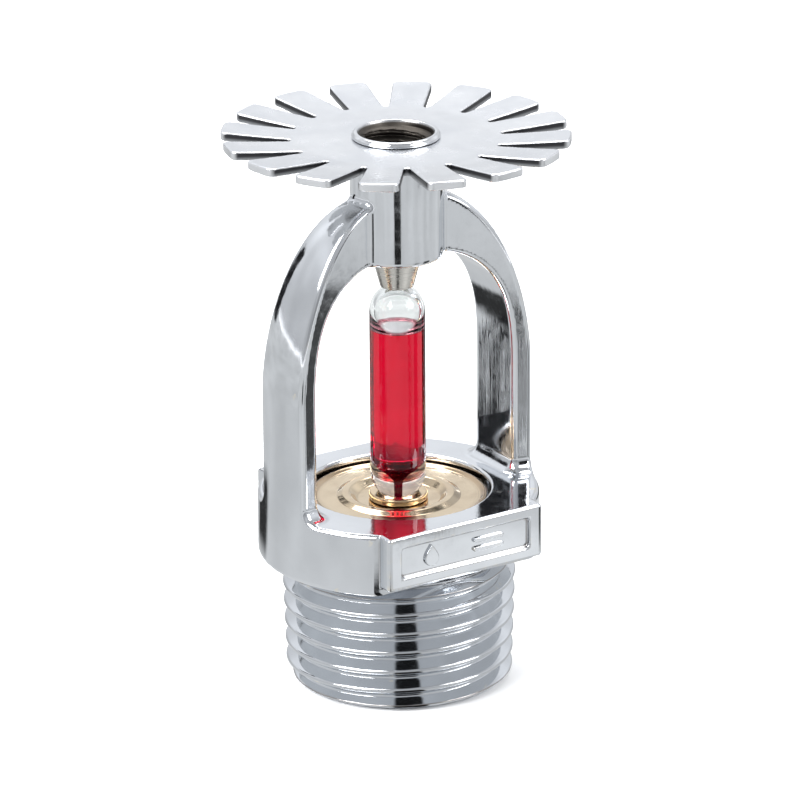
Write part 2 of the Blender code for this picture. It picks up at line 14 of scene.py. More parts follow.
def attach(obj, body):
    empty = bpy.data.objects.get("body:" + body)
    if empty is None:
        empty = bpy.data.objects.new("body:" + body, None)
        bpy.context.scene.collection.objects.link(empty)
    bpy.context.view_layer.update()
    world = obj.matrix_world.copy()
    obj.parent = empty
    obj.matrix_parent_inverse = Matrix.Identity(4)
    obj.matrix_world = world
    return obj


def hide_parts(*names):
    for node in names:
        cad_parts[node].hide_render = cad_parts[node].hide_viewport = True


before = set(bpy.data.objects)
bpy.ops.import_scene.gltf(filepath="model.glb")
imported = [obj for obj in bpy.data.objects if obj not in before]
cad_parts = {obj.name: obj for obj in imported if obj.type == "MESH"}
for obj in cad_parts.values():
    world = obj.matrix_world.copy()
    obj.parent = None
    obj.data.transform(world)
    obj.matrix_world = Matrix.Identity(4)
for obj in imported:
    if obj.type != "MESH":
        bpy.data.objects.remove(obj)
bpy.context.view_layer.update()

MM = 0.001
TURN = 2 * math.pi

# ---------------------------------------------------------------- dimensions (mm)
BODY_R = 12.66
BASE_BOTTOM_Z = 12.0
BASE_TOP_Z = 17.8
FLAT_Y = 9.6
DOME_START_Z = 28.5
DOME_HEIGHT = 17.25
DOME_POWERS = (2.557, 1.744)
ARM_HALF_WIDTH = 3.5
CROWN_HALF_WIDTH = 1.8
WINDOW_HALF_WIDTH = 10.4
WINDOW_ARCH_Z = 27.9
WINDOW_ARCH_HEIGHT = 12.05
WINDOW_POWER = 2.746
PLATE_Y = 11.0
PLATE_HALF_LENGTH = 8.15
PLATE_BOTTOM_Z = 12.85
FIELD_HALF_LENGTH = 6.75
FIELD_HALF_HEIGHT = 1.4
FIELD_DEPTH = 0.4
MARK_HEIGHT = 0.11
MARK_BEVEL = 0.08
DROP_X = -3.5
DROP_R = 0.85
BAR_ENDS_X = (3.9, 1.1)
BAR_Z = 0.42
BAR_HALF_WIDTH = 0.2
BOSS_R = 4.1
BOSS_BOTTOM_Z = 39.6
BOSS_TOP_Z = 49.7
NECK_R = 9.2
NECK_BOTTOM_Z = 11.0
SEAT_BORE_R = 8.3
SEAT_LEDGE_Z = 14.9
ORIFICE_R = 6.2

THREAD_PITCH = 25.4 / 14
THREAD_MAJOR_R = 20.955 / 2
THREAD_DEPTH = 1.162
THREAD_ROUND = 0.249
THREAD_FLANK = math.radians(27.5)
THREAD_GAUGE_Z = 8.2
THREAD_TOP_Z = 11.65

NOSE_R = 3.5
NOSE_FLANGE_Z = 50.55
NOSE_FLANGE_R = 3.95
TOP_Z = 51.05
SCREW_PITCH = 1.0
SCREW_R = 2.93
SCREW_TOP_Z = 46.4
SCREW_TIP_Z = 36.75
SOCKET_FLATS = 3.0

DEFLECTOR_R = 15.4
DEFLECTOR_HOLE_R = 3.58
DEFLECTOR_BOTTOM_Z = 49.75
DEFLECTOR_TOP_Z = 50.5
DEFLECTOR_RISE = 0.55
RISE_START_R = 8.4
RISE_LENGTH = 7.0
SLOT_COUNT = 16
SLOT_PHASE = math.radians(-5.0)
SLOT_ROOT_R = 9.3
SLOT_ROOT_HALF_WIDTH = 0.25
SLOT_FLARE = 0.9 / 5.6

BULB_R = 2.5
BULB_TOP_Z = 36.95
BULB_SHOULDER_Z = 34.4
BULB_END_Z = 19.2
CAVITY_R = 2.0
CAVITY_TOP_Z = 36.3
LIQUID_LEVEL_Z = 32.66
LIQUID_TAPER_TOP_Z = 20.6
LIQUID_TAPER_LOW_Z = 18.3
LIQUID_STEM_R = 0.24
LIQUID_SURFACE_R = 2.42

# ---------------------------------------------------------------- studio
VIEW_AZIMUTH = -33.0
VIEW_ELEVATION = 20.15
VIEW_DISTANCE = 0.46
VIEW_ROLL = -0.375
LENS = 231.84
LENS_SHIFT = (0.00275, 0.0125)
TARGET = Vector((0, 0, 0.025))

# Dark gaps between the lamps: angle, half angle and softness in degrees from the front
# towards the right, nearest and farthest distance in mm, depth (below 0 is brighter)
REFLECTED_GAPS = [
    (6, 8, 3, 5, 42, 0.98),
    (2, 7, 2, 105, 165, 0.97),
    (-133, 8, 6, 42, 56, 0.95),
    (149, 8, 5, 60, 200, 0.9),
    (80, 8, 3, 52, 105, 0.9),
    (60, 14, 6, 30, 48, -0.35),
]
# The same, with the fineness of the streaks in place of the depth
REFLECTED_STREAKS = [(50, 7, 2, 56, 102, 0.35)]
SEEN_THROUGH_GAPS = [(108, 17, 3, 5, 400, 0.98), (-108, 17, 3, 5, 400, 0.98)]
CARD_INNER_R = 0.0096
CARD_OUTER_R = 0.6

# Dark flags: direction in degrees from the front, then in mm the reach, the first and last
# point sideways, and the lowest and highest point
FLAGS = [
    (-114, 17, -7.1, -6.2, 14, 32),
    (-114, 17, -8.7, -7.6, 14, 32),
    (-114, 17, -9.9, -9.2, 14, 32),
    (-114, 60, -13, -3, 30, 56),
    (47, 60, 5, 16, 30, 56),
]


# ---------------------------------------------------------------- meshes from distance fields
def round_join(a, b, radius):
    """Union of two solids given as distances, with a fillet of this radius between them."""
    inside = np.hypot(np.maximum(radius - a, 0), np.maximum(radius - b, 0))
    return np.maximum(radius, np.minimum(a, b)) - inside


def round_cut(a, b, radius):
    """What two solids share, with the edge between them rounded to this radius."""
    outside = np.hypot(np.maximum(radius + a, 0), np.maximum(radius + b, 0))
    return np.minimum(-radius, np.maximum(a, b)) + outside


def dome(across, up, half_width, height, power_across, power_up):
    """Distance to a superelliptic arch on straight sides, close to exact near its surface."""
    u = across / half_width
    v = np.maximum(up, 0) / height
    slope = np.hypot(
        power_across / half_width * u ** (power_across - 1),
        power_up / height * v ** (power_up - 1),
    )
    return (u**power_across + v**power_up - 1) / np.maximum(slope, 0.04)


def surface_cells(values):
    """The grid cells that the surface passes through, their point on it and their numbering."""
    corners = [(i, j, k) for i in (0, 1) for j in (0, 1) for k in (0, 1)]
    shape = [n - 1 for n in values.shape]

    def corner(i, j, k):
        return values[i : i + shape[0], j : j + shape[1], k : k + shape[2]]

    count = sum((corner(*c) < 0).astype(np.int8) for c in corners)
    cells = np.argwhere((count > 0) & (count < 8))
    at = [values[tuple((cells + c).T)] for c in corners]
    total = np.zeros((len(cells), 3))
    hits = np.zeros(len(cells))
    for a, first in enumerate(corners):
        for b, second in enumerate(corners):
            if b <= a or sum(abs(p - q) for p, q in zip(first, second)) != 1:
                continue
            crossed = (at[a] < 0) != (at[b] < 0)
            share = np.where(crossed, at[a] / np.where(crossed, at[a] - at[b], 1), 0)
            step = np.array(second) - np.array(first)
            total += crossed[:, None] * (np.array(first) + share[:, None] * step)
            hits += crossed
    number = np.full(shape, -1, np.int32)
    number[tuple(cells.T)] = np.arange(len(cells))
    return cells + total / hits[:, None], number


def surface_quads(values, number):
    """One quad for each grid edge that the surface crosses, turned to face outwards."""
    quads = []
    for axis in range(3):
        inside = np.moveaxis(values, axis, 0) < 0
        cells = np.moveaxis(number, axis, 0)
        edges = np.argwhere(inside[:-1, 1:-1, 1:-1] != inside[1:, 1:-1, 1:-1])
        i, j, k = edges.T
        quad = np.stack(
            [cells[i, j, k], cells[i, j + 1, k], cells[i, j + 1, k + 1], cells[i, j, k + 1]], axis=1
        )
        outward = inside[i, j + 1, k + 1] ^ (axis == 1)
        quad[~outward] = quad[~outward, ::-1]
        quads.append(quad)
    return np.concatenate(quads)


def slopes(field, points, reach=0.004):
    """Gradient of a field at the points."""
    made = np.empty_like(points)
    for axis in range(3):
        step = np.zeros(3)
        step[axis] = reach
        made[:, axis] = (field(*(points + step).T) - field(*(points - step).T)) / (2 * reach)
    return made


def pull_to_surface(field, points, spacing, rounds):
    """Moves points along the field's slope towards its surface, this many times."""
    for _ in range(rounds):
        slope = slopes(field, points)
        length = np.maximum((slope**2).sum(axis=1), 0.05)
        move = (field(*points.T) / length)[:, None] * slope
        points = points - np.clip(move, -spacing / 2, spacing / 2)
    return points


def evened(points, quads):
    """Each point moved halfway to the middle of the points it shares an edge with."""
    ends = np.concatenate([quads[:, [a, (a + 1) % 4]] for a in range(4)])
    total = np.stack(
        [np.bincount(ends[:, 0], points[ends[:, 1], axis], len(points)) for axis in range(3)], axis=1
    )
    count = np.bincount(ends[:, 0], minlength=len(points))
    return (points + total / np.maximum(count, 1)[:, None]) / 2


def field_piece(name, field, low, high, spacing):
    """The zero level of a field as a mesh whose points and normals lie on the true surface."""
    axes = [np.arange(a, b + spacing, spacing) for a, b in zip(low, high)]
    layers = [field(*np.meshgrid(axes[0], axes[1], [z], indexing="ij")) for z in axes[2]]
    values = np.concatenate(layers, axis=2)
    points, number = surface_cells(values)
    quads = surface_quads(values, number)
    points = points * spacing + np.array(low)
    points = pull_to_surface(field, points, spacing, 3)
    for _ in range(2):
        points = pull_to_surface(field, evened(points, quads), spacing, 2)
    normals = slopes(field, points)
    normals /= np.maximum(np.linalg.norm(normals, axis=1), 1e-6)[:, None]
    mesh = bpy.data.meshes.new(name)
    mesh.from_pydata(points * MM, [], quads)
    mesh.shade_smooth()
    mesh.normals_split_custom_set_from_vertices(normals)
    return place(name, mesh)


def place(name, mesh):
    """A new object with this data, linked to the scene."""
    obj = bpy.data.objects.new(name, mesh)
    bpy.context.scene.collection.objects.link(obj)
    return obj


# ---------------------------------------------------------------- meshes from rings about the axis
def fillet(points, radii, segments=5):
    """The corners of an open profile rounded to these radii."""
    made = [points[0]]
    for before, corner, after, radius in zip(points, points[1:], points[2:], radii):
        if radius == 0:
            made.append(corner)
            continue
        a = Vector(before) - Vector(corner)
        b = Vector(after) - Vector(corner)
        half = a.angle(b) / 2
        reach = min(radius / math.tan(half), 0.49 * a.length, 0.49 * b.length)
        radius = reach * math.tan(half)
        inwards = (a.normalized() + b.normalized()).normalized()
        centre = Vector(corner) + inwards * (radius / math.sin(half))
        start = Vector(corner) + a.normalized() * reach - centre
        end = Vector(corner) + b.normalized() * reach - centre
        sweep = start.angle_signed(end)
        for i in range(segments + 1):
            made.append(tuple(centre + Matrix.Rotation(-sweep * i / segments, 2) @ start))
    return [*made, points[-1]]


def ring_piece(name, rings, steps, closed=False, weighted=True):
    """Rings (radius, z) joined in order; a radius or z may vary round the ring, 0 radius is a pole."""
    angles = np.arange(steps) * TURN / steps
    points, faces, rows = [], [], []
    for radius, z in rings:
        if np.ndim(radius) == 0 and radius == 0:
            rows.append([len(points)])
            points.append((0.0, 0.0, float(z)))
            continue
        radius = np.broadcast_to(radius, steps)
        height = np.broadcast_to(z, steps)
        rows.append(list(range(len(points), len(points) + steps)))
        points += list(zip(radius * np.cos(angles), radius * np.sin(angles), height))
    pairs = list(zip(rows, rows[1:])) + ([(rows[-1], rows[0])] if closed else [])
    for a, b in pairs:
        for i in range(steps):
            j = (i + 1) % steps
            if len(a) == 1:
                faces.append((a[0], b[i], b[j]))
            elif len(b) == 1:
                faces.append((a[i], b[0], a[j]))
            else:
                faces.append((a[i], b[i], b[j], a[j]))
    mesh = bpy.data.meshes.new(name)
    mesh.from_pydata([tuple(c * MM for c in p) for p in points], [], faces)
    mesh.shade_smooth()
    obj = place(name, mesh)
    if weighted:
        obj.modifiers.new("Flat faces first", "WEIGHTED_NORMAL").keep_sharp = True
    return obj


def superellipse(half_width, height, power, count):
    """Quarter outline from the apex (0, height) to (half_width, 0)."""
    angles = np.linspace(math.pi / 2, 0, count)
    across = half_width * np.maximum(np.cos(angles), 0) ** (2 / power)
    up = height * np.maximum(np.sin(angles), 0) ** (2 / power)
    return list(zip(across, up))


# ---------------------------------------------------------------- frame
def casting_field(x, y, z):
    """Base, wrench plates, arms and boss of the cast frame."""
    r = np.hypot(x, y)
    along = np.abs(x)
    across = np.abs(y)
    envelope = dome(r, z - DOME_START_Z, BODY_R, DOME_HEIGHT, *DOME_POWERS)
    window = dome(
        along, z - WINDOW_ARCH_Z, WINDOW_HALF_WIDTH, WINDOW_ARCH_HEIGHT, WINDOW_POWER, WINDOW_POWER
    )
    widening = (ARM_HALF_WIDTH - CROWN_HALF_WIDTH) / (BODY_R - BOSS_R)
    arm_side = across - CROWN_HALF_WIDTH - (along - BOSS_R) * widening
    arms = round_cut(arm_side * math.cos(math.atan(widening)), -window, 0.4)
    base = round_cut(across - FLAT_Y, z - BASE_TOP_Z, 0.3)
    body = round_cut(round_join(arms, base, 1.4), envelope, 0.5)
    body = round_cut(body, BASE_BOTTOM_Z - z, 0.4)
    boss = round_cut(round_cut(r - BOSS_R, z - BOSS_TOP_Z, 0.25), BOSS_BOTTOM_Z - z, 0.35)
    body = round_join(body, boss, 0.55)

    plate_z = (PLATE_BOTTOM_Z + BASE_TOP_Z) / 2
    up = np.abs(z - plate_z)
    plate = round_cut(along - PLATE_HALF_LENGTH, up - (BASE_TOP_Z - PLATE_BOTTOM_Z) / 2, 0.3)
    plate = round_cut(plate, across - PLATE_Y, 0.3)
    recess = round_cut(along - FIELD_HALF_LENGTH, up - FIELD_HALF_HEIGHT, 0.35)
    recess = round_cut(recess, PLATE_Y - FIELD_DEPTH - across, 0.12)
    body = np.minimum(body, round_cut(plate, -recess, 0.16))

    neck = np.maximum(r - NECK_R, np.maximum(NECK_BOTTOM_Z - z, z - BASE_BOTTOM_Z - 1))
    body = round_join(body, neck, 0.3)
    seat = round_cut(r - SEAT_BORE_R, SEAT_LEDGE_Z - z, 0.2)
    waterway = np.maximum(np.minimum(seat, r - ORIFICE_R), z - BASE_TOP_Z - 2)
    body = round_cut(body, -waterway, 0.25)
    bore = np.minimum(r - SCREW_R - 0.1, np.maximum(r - NOSE_R + 0.06, BOSS_BOTTOM_Z + 1.2 - z))
    bore = np.maximum(bore, BOSS_BOTTOM_Z - 1.5 - z)
    return round_cut(body, -bore, 0.15)


def rounded_thread(phase, pitch, depth, rounding, flank):
    """Depth below the crest of a V thread with rounded crests and roots, phase 0.5 on a crest."""
    away = np.abs((phase % 1.0) - 0.5) * pitch
    contact = rounding * math.cos(flank)
    start = rounding * (1 - math.sin(flank))
    half = pitch / 2
    slanted = start + (away - contact) / math.tan(flank)
    crest = rounding - np.sqrt(np.maximum(rounding**2 - away**2, 0))
    root = depth - rounding + np.sqrt(np.maximum(rounding**2 - (half - away) ** 2, 0))
    return np.where(away < contact, crest, np.where(away > half - contact, root, slanted))


def make_inlet_thread():
    """Tapered right-hand pipe thread on a tube, with the narrowing waterway inside it."""
    steps = 168
    angles = np.arange(steps) / steps
    ends_z = [0, 1.7, 10.238, 10.703, THREAD_TOP_Z]
    ends_r = [9.31, 11.5, 11.5, 10.68, NECK_R + 0.05]
    rings = []
    for z in np.linspace(0.06, THREAD_TOP_Z, 215):
        crest = THREAD_MAJOR_R + (z - THREAD_GAUGE_Z) / 32
        depth = rounded_thread(
            z / THREAD_PITCH - angles, THREAD_PITCH, THREAD_DEPTH, THREAD_ROUND, THREAD_FLANK
        )
        rings.append((np.minimum(crest - depth, np.interp(z, ends_z, ends_r)), z))
    first = np.minimum(rings[0][0] - 0.07, 9.3)
    wall = fillet(
        [
            (7.6, 0.0),
            (7.2, 0.4),
            (7.2, 3.0),
            (ORIFICE_R, NECK_BOTTOM_Z - 0.02),
            (8.9, NECK_BOTTOM_Z - 0.02),
        ],
        [0.1, 1.0, 0.0, 0.0],
    )
    rings = list(reversed(wall)) + [(8.6, 0.0), (first, 0.0)] + rings
    obj = ring_piece("inlet_thread", rings, steps, closed=True, weighted=False)
    return obj


def make_nose():
    """Threaded liner of the boss and the nose that is peened over the deflector."""
    steps = 96
    angles = np.arange(steps) / steps
    inner = []
    for z in np.linspace(40.9, 50.5, 150):
        depth = rounded_thread(z / SCREW_PITCH - angles, SCREW_PITCH, 0.3, 0.09, math.radians(32))
        inner.append((SCREW_R + 0.37 - depth, z))
    lip = fillet(
        [
            (3.22, 50.6),
            (3.42, TOP_Z),
            (3.72, TOP_Z - 0.01),
            (NOSE_FLANGE_R, TOP_Z - 0.3),
            (NOSE_FLANGE_R - 0.06, NOSE_FLANGE_Z),
            (NOSE_R, NOSE_FLANGE_Z),
            (NOSE_R, 40.8),
            (3.3, 40.8),
        ],
        [0.12, 0.3, 0.18, 0.08, 0.03, 0.0],
    )
    return ring_piece("boss_nose", inner + lip, steps, closed=True, weighted=False)


def mark_outlines():
    """A plain drop and two bars for the recessed field of a wrench plate, as (x, z) outlines."""
    drop = []
    for i in range(40):
        angle = TURN * i / 40
        taper = 0.5 + 0.5 * math.cos(angle - math.pi / 2)
        x = DROP_X + DROP_R * math.cos(angle) * (1 - 0.85 * taper**2)
        drop.append((x, 0.95 * math.sin(angle) + 0.12 * taper))
    bars = []
    for z in (BAR_Z, -BAR_Z):
        bar = []
        for centre, start in zip(BAR_ENDS_X, (-90, 90)):
            for i in range(9):
                angle = math.radians(start + 180 * i / 8)
                x = centre + BAR_HALF_WIDTH * math.cos(angle)
                bar.append((x, z + BAR_HALF_WIDTH * math.sin(angle)))
        bars.append(bar)
    return [drop, *bars]


def make_plate_marks(side):
    """Raised marks in the field of one wrench plate; side is +1 or -1 along Y."""
    name = "plate_marks_front" if side < 0 else "plate_marks_back"
    curve = bpy.data.curves.new(name, "CURVE")
    curve.dimensions = "2D"
    curve.fill_mode = "BOTH"
    curve.extrude = MARK_HEIGHT * MM
    curve.bevel_depth = MARK_BEVEL * MM
    curve.bevel_resolution = 3
    curve.offset = -MARK_BEVEL * MM
    for outline in mark_outlines():
        spline = curve.splines.new("POLY")
        spline.points.add(len(outline) - 1)
        for point, (x, z) in zip(spline.points, outline):
            point.co = (x * MM, z * MM, 0, 1)
        spline.use_cyclic_u = True
    source = place(name + "_outline", curve)
    graph = bpy.context.evaluated_depsgraph_get()
    mesh = bpy.data.meshes.new_from_object(source.evaluated_get(graph))
    bpy.data.objects.remove(source, do_unlink=True)
    obj = place(name, mesh)
    floor_y = side * (PLATE_Y - FIELD_DEPTH + 0.06)
    turn = Matrix.Rotation(math.pi / 2, 4, "X")
    if side > 0:
        turn = Matrix.Rotation(math.pi, 4, "Z") @ turn
    middle_z = (PLATE_BOTTOM_Z + BASE_TOP_Z) / 2
    mesh.transform(Matrix.Translation((0, floor_y * MM, middle_z * MM)) @ turn)
    return obj


# ---------------------------------------------------------------- deflector
def deflector_field(x, y, z):
    """Stamped disc with flared slots, tines slightly turned up towards the rim."""
    r = np.hypot(x, y)
    pitch = TURN / SLOT_COUNT
    turned = (np.arctan2(y, x) - SLOT_PHASE + pitch / 2) % pitch - pitch / 2
    out = r * np.cos(turned)
    across = np.abs(r * np.sin(turned))
    slot = across - SLOT_ROOT_HALF_WIDTH - (out - SLOT_ROOT_R) * SLOT_FLARE
    slot = round_cut(slot * math.cos(math.atan(SLOT_FLARE)), SLOT_ROOT_R - out, 0.24)
    plan = round_cut(r - DEFLECTOR_R, -slot, 0.6)
    plan = np.maximum(plan, DEFLECTOR_HOLE_R - r)
    rise = DEFLECTOR_RISE * np.clip((r - RISE_START_R) / RISE_LENGTH, 0, 1.05) ** 1.25
    sheet = round_cut(plan, z - DEFLECTOR_TOP_Z - rise, 0.16)
    return round_cut(sheet, DEFLECTOR_BOTTOM_Z + rise - z, 0.08)


# ---------------------------------------------------------------- screw, bulb and valve
def make_screw():
    """Compression screw: cupped cone, threaded barrel and hexagonal socket."""
    steps = 96
    angles = np.arange(steps) * TURN / steps
    nose = fillet(
        [
            (0.0, SCREW_TIP_Z + 0.35),
            (0.94, SCREW_TIP_Z + 0.35),
            (1.25, SCREW_TIP_Z),
            (1.5, SCREW_TIP_Z),
            (2.2, 39.45),
            (2.45, 39.55),
            (2.62, 39.95),
        ],
        [0.1, 0.08, 0.12, 0.15, 0.1],
    )
    barrel = []
    for z in np.linspace(40.0, SCREW_TOP_Z - 0.45, 96):
        depth = rounded_thread(
            z / SCREW_PITCH - angles / TURN, SCREW_PITCH, 0.3, 0.09, math.radians(32)
        )
        barrel.append((SCREW_R - depth, z))
    flat = (SOCKET_FLATS / 2) / np.cos((angles + math.pi / 6) % (math.pi / 3) - math.pi / 6)
    top = [
        (SCREW_R - 0.35, SCREW_TOP_Z - 0.06),
        (SCREW_R - 0.45, SCREW_TOP_Z),
        (2.1, SCREW_TOP_Z),
        (flat + 0.1, SCREW_TOP_Z),
        (flat, SCREW_TOP_Z - 0.1),
        (flat, SCREW_TOP_Z - 2.3),
        (0.9, SCREW_TOP_Z - 2.6),
        (0.0, SCREW_TOP_Z - 2.8),
    ]
    return ring_piece("compression_screw_detailed", nose + barrel + top, steps)


def bulb_outside():
    """Outer side of the glass from its top down to the drawn tip."""
    crown = superellipse(BULB_R, BULB_TOP_Z - BULB_SHOULDER_Z, 2.0, 36)
    profile = [(r, z + BULB_SHOULDER_Z) for r, z in crown]
    for angle in np.linspace(0, math.radians(74), 28):
        profile.append((BULB_R * math.cos(angle), BULB_END_Z - BULB_R * math.sin(angle)))
    return profile + [(0.56, 16.72), (0.5, 16.55), (0.42, 16.35), (0.25, 16.27), (0.0, 16.25)]


def meniscus(drop):
    """Liquid surface from the wall to the axis, curved up at the glass."""
    radii = np.linspace(CAVITY_R - 0.02, 0.25, 12)
    rise = 0.3 * (radii / CAVITY_R) ** 6
    return [(float(r), LIQUID_LEVEL_Z - 0.1 + float(h) - drop) for r, h in zip(radii, rise)]


def make_glass():
    """Solid glass round the gas space. The liquid fills the rest of the cavity in it."""
    outside = ring_piece("bulb_glass_clear", bulb_outside(), 112, weighted=False)
    crown = superellipse(CAVITY_R, CAVITY_TOP_Z - BULB_SHOULDER_Z, 2.0, 26)
    gas = [(r, z + BULB_SHOULDER_Z) for r, z in crown]
    gas += meniscus(0.0) + [(0.0, LIQUID_LEVEL_Z - 0.1)]
    bubble = ring_piece("gas_space", list(reversed(gas)), 112, weighted=False)
    return joined(outside, bubble)


def joined(first, second):
    """Both objects as one mesh under the first one's name."""
    both = [first, second]
    with bpy.context.temp_override(
        active_object=first, object=first, selected_objects=both, selected_editable_objects=both
    ):
        bpy.ops.object.join()
    return first


def make_liquid():
    """Red liquid from its surface down to the thin stem in the sealed tip."""
    profile = [(0.0, LIQUID_LEVEL_Z - 0.112)] + list(reversed(meniscus(0.012)))
    for share in np.linspace(0, 1, 26):
        sweep = (1 - share**1.6) ** 2.2
        z = LIQUID_TAPER_TOP_Z - (LIQUID_TAPER_TOP_Z - LIQUID_TAPER_LOW_Z) * share
        profile.append((LIQUID_STEM_R + (CAVITY_R - LIQUID_STEM_R) * sweep, z))
    profile += [(0.22, 17.4), (0.18, 16.9), (0.1, 16.66), (0.0, 16.62)]
    return ring_piece("bulb_liquid_red", profile, 96, weighted=False)


def make_liquid_surface():
    """The shining surface of the liquid, a thin lens at the foot of the gas space."""
    rim = [(LIQUID_SURFACE_R, LIQUID_LEVEL_Z + 0.21), (LIQUID_SURFACE_R, LIQUID_LEVEL_Z + 0.24)]
    low = [(0.0, LIQUID_LEVEL_Z - 0.09)] + list(reversed(meniscus(-0.01)))
    top = [(r - 0.01, z) for r, z in meniscus(-0.04)] + [(0.0, LIQUID_LEVEL_Z - 0.06)]
    return ring_piece("bulb_liquid_surface", low + rim + top, 96, weighted=False)


def make_seat():
    """Turned cup with a rounded rim that carries the bulb, and its stem."""
    cup_r = BULB_R + 0.06
    hole_angle = math.asin(0.75 / cup_r)
    rim_angle = math.asin(1.75 / cup_r)
    cup = [
        (cup_r * math.sin(a), BULB_END_Z - cup_r * math.cos(a))
        for a in np.linspace(hole_angle, rim_angle, 12)
    ]
    outside = fillet(
        [
            cup[-1],
            (1.84, 17.35),
            (2.65, 17.35),
            (2.65, 16.7),
            (1.45, 16.7),
            (1.45, 15.1),
            (0.0, 15.1),
        ],
        [0.05, 0.2, 0.12, 0.1, 0.2],
    )
    return ring_piece("bulb_seat_turned", [(0.0, 15.95), (0.75, 15.95), *cup, *outside[1:]][::-1], 96)


def make_cap():
    """Pressed valve cap with one embossed ring and a turned-up lip."""
    profile = fillet(
        [
            (1.55, 16.4),
            (1.55, 16.65),
            (3.75, 16.65),
            (4.4, 17.25),
            (5.0, 17.25),
            (5.6, 16.95),
            (7.35, 16.95),
            (7.72, 17.2),
            (7.95, 17.14),
            (7.95, 16.12),
            (1.55, 16.12),
            (1.55, 16.4),
        ],
        [0.1, 0.45, 0.35, 0.35, 0.45, 0.4, 0.15, 0.1, 0.12, 0.1],
    )
    return ring_piece("pip_cap_pressed", profile[:-1][::-1], 160, closed=True)


# ---------------------------------------------------------------- materials
class Surface:
    """A procedural material round one Principled shader, patterned in millimetres."""

    def __init__(self, name, **constants):
        self.material = bpy.data.materials.new(name)
        self.material.use_nodes = True
        self.tree = self.material.node_tree
        self.shader = self.tree.nodes["Principled BSDF"]
        for socket, value in constants.items():
            self.shader.inputs[socket.replace("_", " ")].default_value = value
        scaled = self.node("ShaderNodeMapping")
        scaled.inputs["Scale"].default_value = (1000, 1000, 1000)
        self.link(self.node("ShaderNodeTexCoord").outputs["Object"], scaled.inputs["Vector"])
        self.place = scaled.outputs["Vector"]

    def node(self, kind, **settings):
        made = self.tree.nodes.new(kind)
        for key, value in settings.items():
            setattr(made, key, value)
        return made

    def link(self, source, socket):
        self.tree.links.new(source, socket)

    def drive(self, socket, source):
        self.link(source, self.shader.inputs[socket])

    def stretched(self, scale):
        made = self.node("ShaderNodeMapping")
        made.inputs["Scale"].default_value = scale
        self.link(self.place, made.inputs["Vector"])
        return made.outputs["Vector"]

    def noise(self, scale, detail=2.0, rough=0.5, distortion=0.0, vector=None):
        made = self.node("ShaderNodeTexNoise")
        made.inputs["Scale"].default_value = scale
        made.inputs["Detail"].default_value = detail
        made.inputs["Roughness"].default_value = rough
        made.inputs["Distortion"].default_value = distortion
        self.link(vector or self.place, made.inputs["Vector"])
        return made.outputs["Fac"]

    def remap(self, source, low, high, to_low, to_high):
        made = self.node("ShaderNodeMapRange", interpolation_type="SMOOTHSTEP")
        limits = {"From Min": low, "From Max": high, "To Min": to_low, "To Max": to_high}
        for socket, value in limits.items():
            made.inputs[socket].default_value = value
        self.link(source, made.inputs["Value"])
        return made.outputs["Result"]

    def math(self, operation, a, b):
        made = self.node("ShaderNodeMath", operation=operation)
        for socket, value in zip(made.inputs, (a, b)):
            if isinstance(value, (int, float)):
                socket.default_value = value
            else:
                self.link(value, socket)
        return made.outputs["Value"]

    def mix(self, share, a, b):
        made = self.node("ShaderNodeMix", data_type="RGBA")
        for socket, value in ((made.inputs["Factor"], share), (made.inputs[6], a), (made.inputs[7], b)):
            if isinstance(value, tuple):
                socket.default_value = (*value, 1)
            else:
                self.link(value, socket)
        return made.outputs[2]

    def axis_distance(self):
        split = self.node("ShaderNodeSeparateXYZ")
        self.link(self.place, split.inputs["Vector"])
        squares = [self.math("POWER", split.outputs[axis], 2) for axis in ("X", "Y")]
        return self.math("SQRT", self.math("ADD", *squares), 0), split.outputs["Z"]

    def rings(self, scale, detail=3.0):
        """Turning marks: noise that changes only away from the axis and along it."""
        away, up = self.axis_distance()
        joined_up = self.node("ShaderNodeCombineXYZ")
        self.link(away, joined_up.inputs["X"])
        self.link(up, joined_up.inputs["Z"])
        return self.noise(scale, detail, vector=joined_up.outputs["Vector"])

    def bump(self, *heights):
        """Stacked bumps, each (pattern, height in mm)."""
        normal = None
        for pattern, height in heights:
            made = self.node("ShaderNodeBump")
            made.inputs["Strength"].default_value = 1.0
            made.inputs["Distance"].default_value = height * MM
            self.link(pattern, made.inputs["Height"])
            if normal is not None:
                self.link(normal, made.inputs["Normal"])
            normal = made.outputs["Normal"]
        self.link(normal, self.shader.inputs["Normal"])

    def pointiness(self):
        return self.node("ShaderNodeNewGeometry").outputs["Pointiness"]


def chrome(name, wave, peel, line, colour=(0.77, 0.79, 0.82)):
    """Bright chrome plate over a polished casting, a little worn along its edges, with painted shade in
    its creases.
    """
    made = Surface(name, Metallic=1.0)
    clouds = made.noise(0.22, 3.0)
    edges = made.remap(made.pointiness(), 0.515, 0.56, 0.0, 1.0)
    worn = made.math("MULTIPLY", edges, made.remap(made.noise(1.3, 4.0), 0.45, 0.7, 0.0, 1.0))
    # Painted shade: the colour darkens in concave creases and recesses, found by pointiness.
    hollow_shade = made.remap(made.pointiness(), 0.43, 0.49, 1.0, 0.0)
    plain = made.mix(made.remap(clouds, 0.3, 0.7, 0.0, 1.0), colour, tuple(c * 0.93 for c in colour))
    plain = made.mix(worn, plain, (0.86, 0.82, 0.74))
    made.drive("Base Color", made.mix(hollow_shade, plain, (0.36, 0.34, 0.33)))
    haze = made.remap(made.noise(0.9, 5.0, 0.65), 0.35, 0.75, 0.05, 0.15)
    made.drive("Roughness", made.math("ADD", haze, made.math("MULTIPLY", worn, 0.12)))
    lines = made.noise(1.0, 3.0, 0.6, vector=made.stretched((2.2, 2.2, 0.07)))
    made.bump((made.noise(0.42, 1.5), wave), (made.noise(2.6, 2.0), peel), (lines, line))
    return made.material


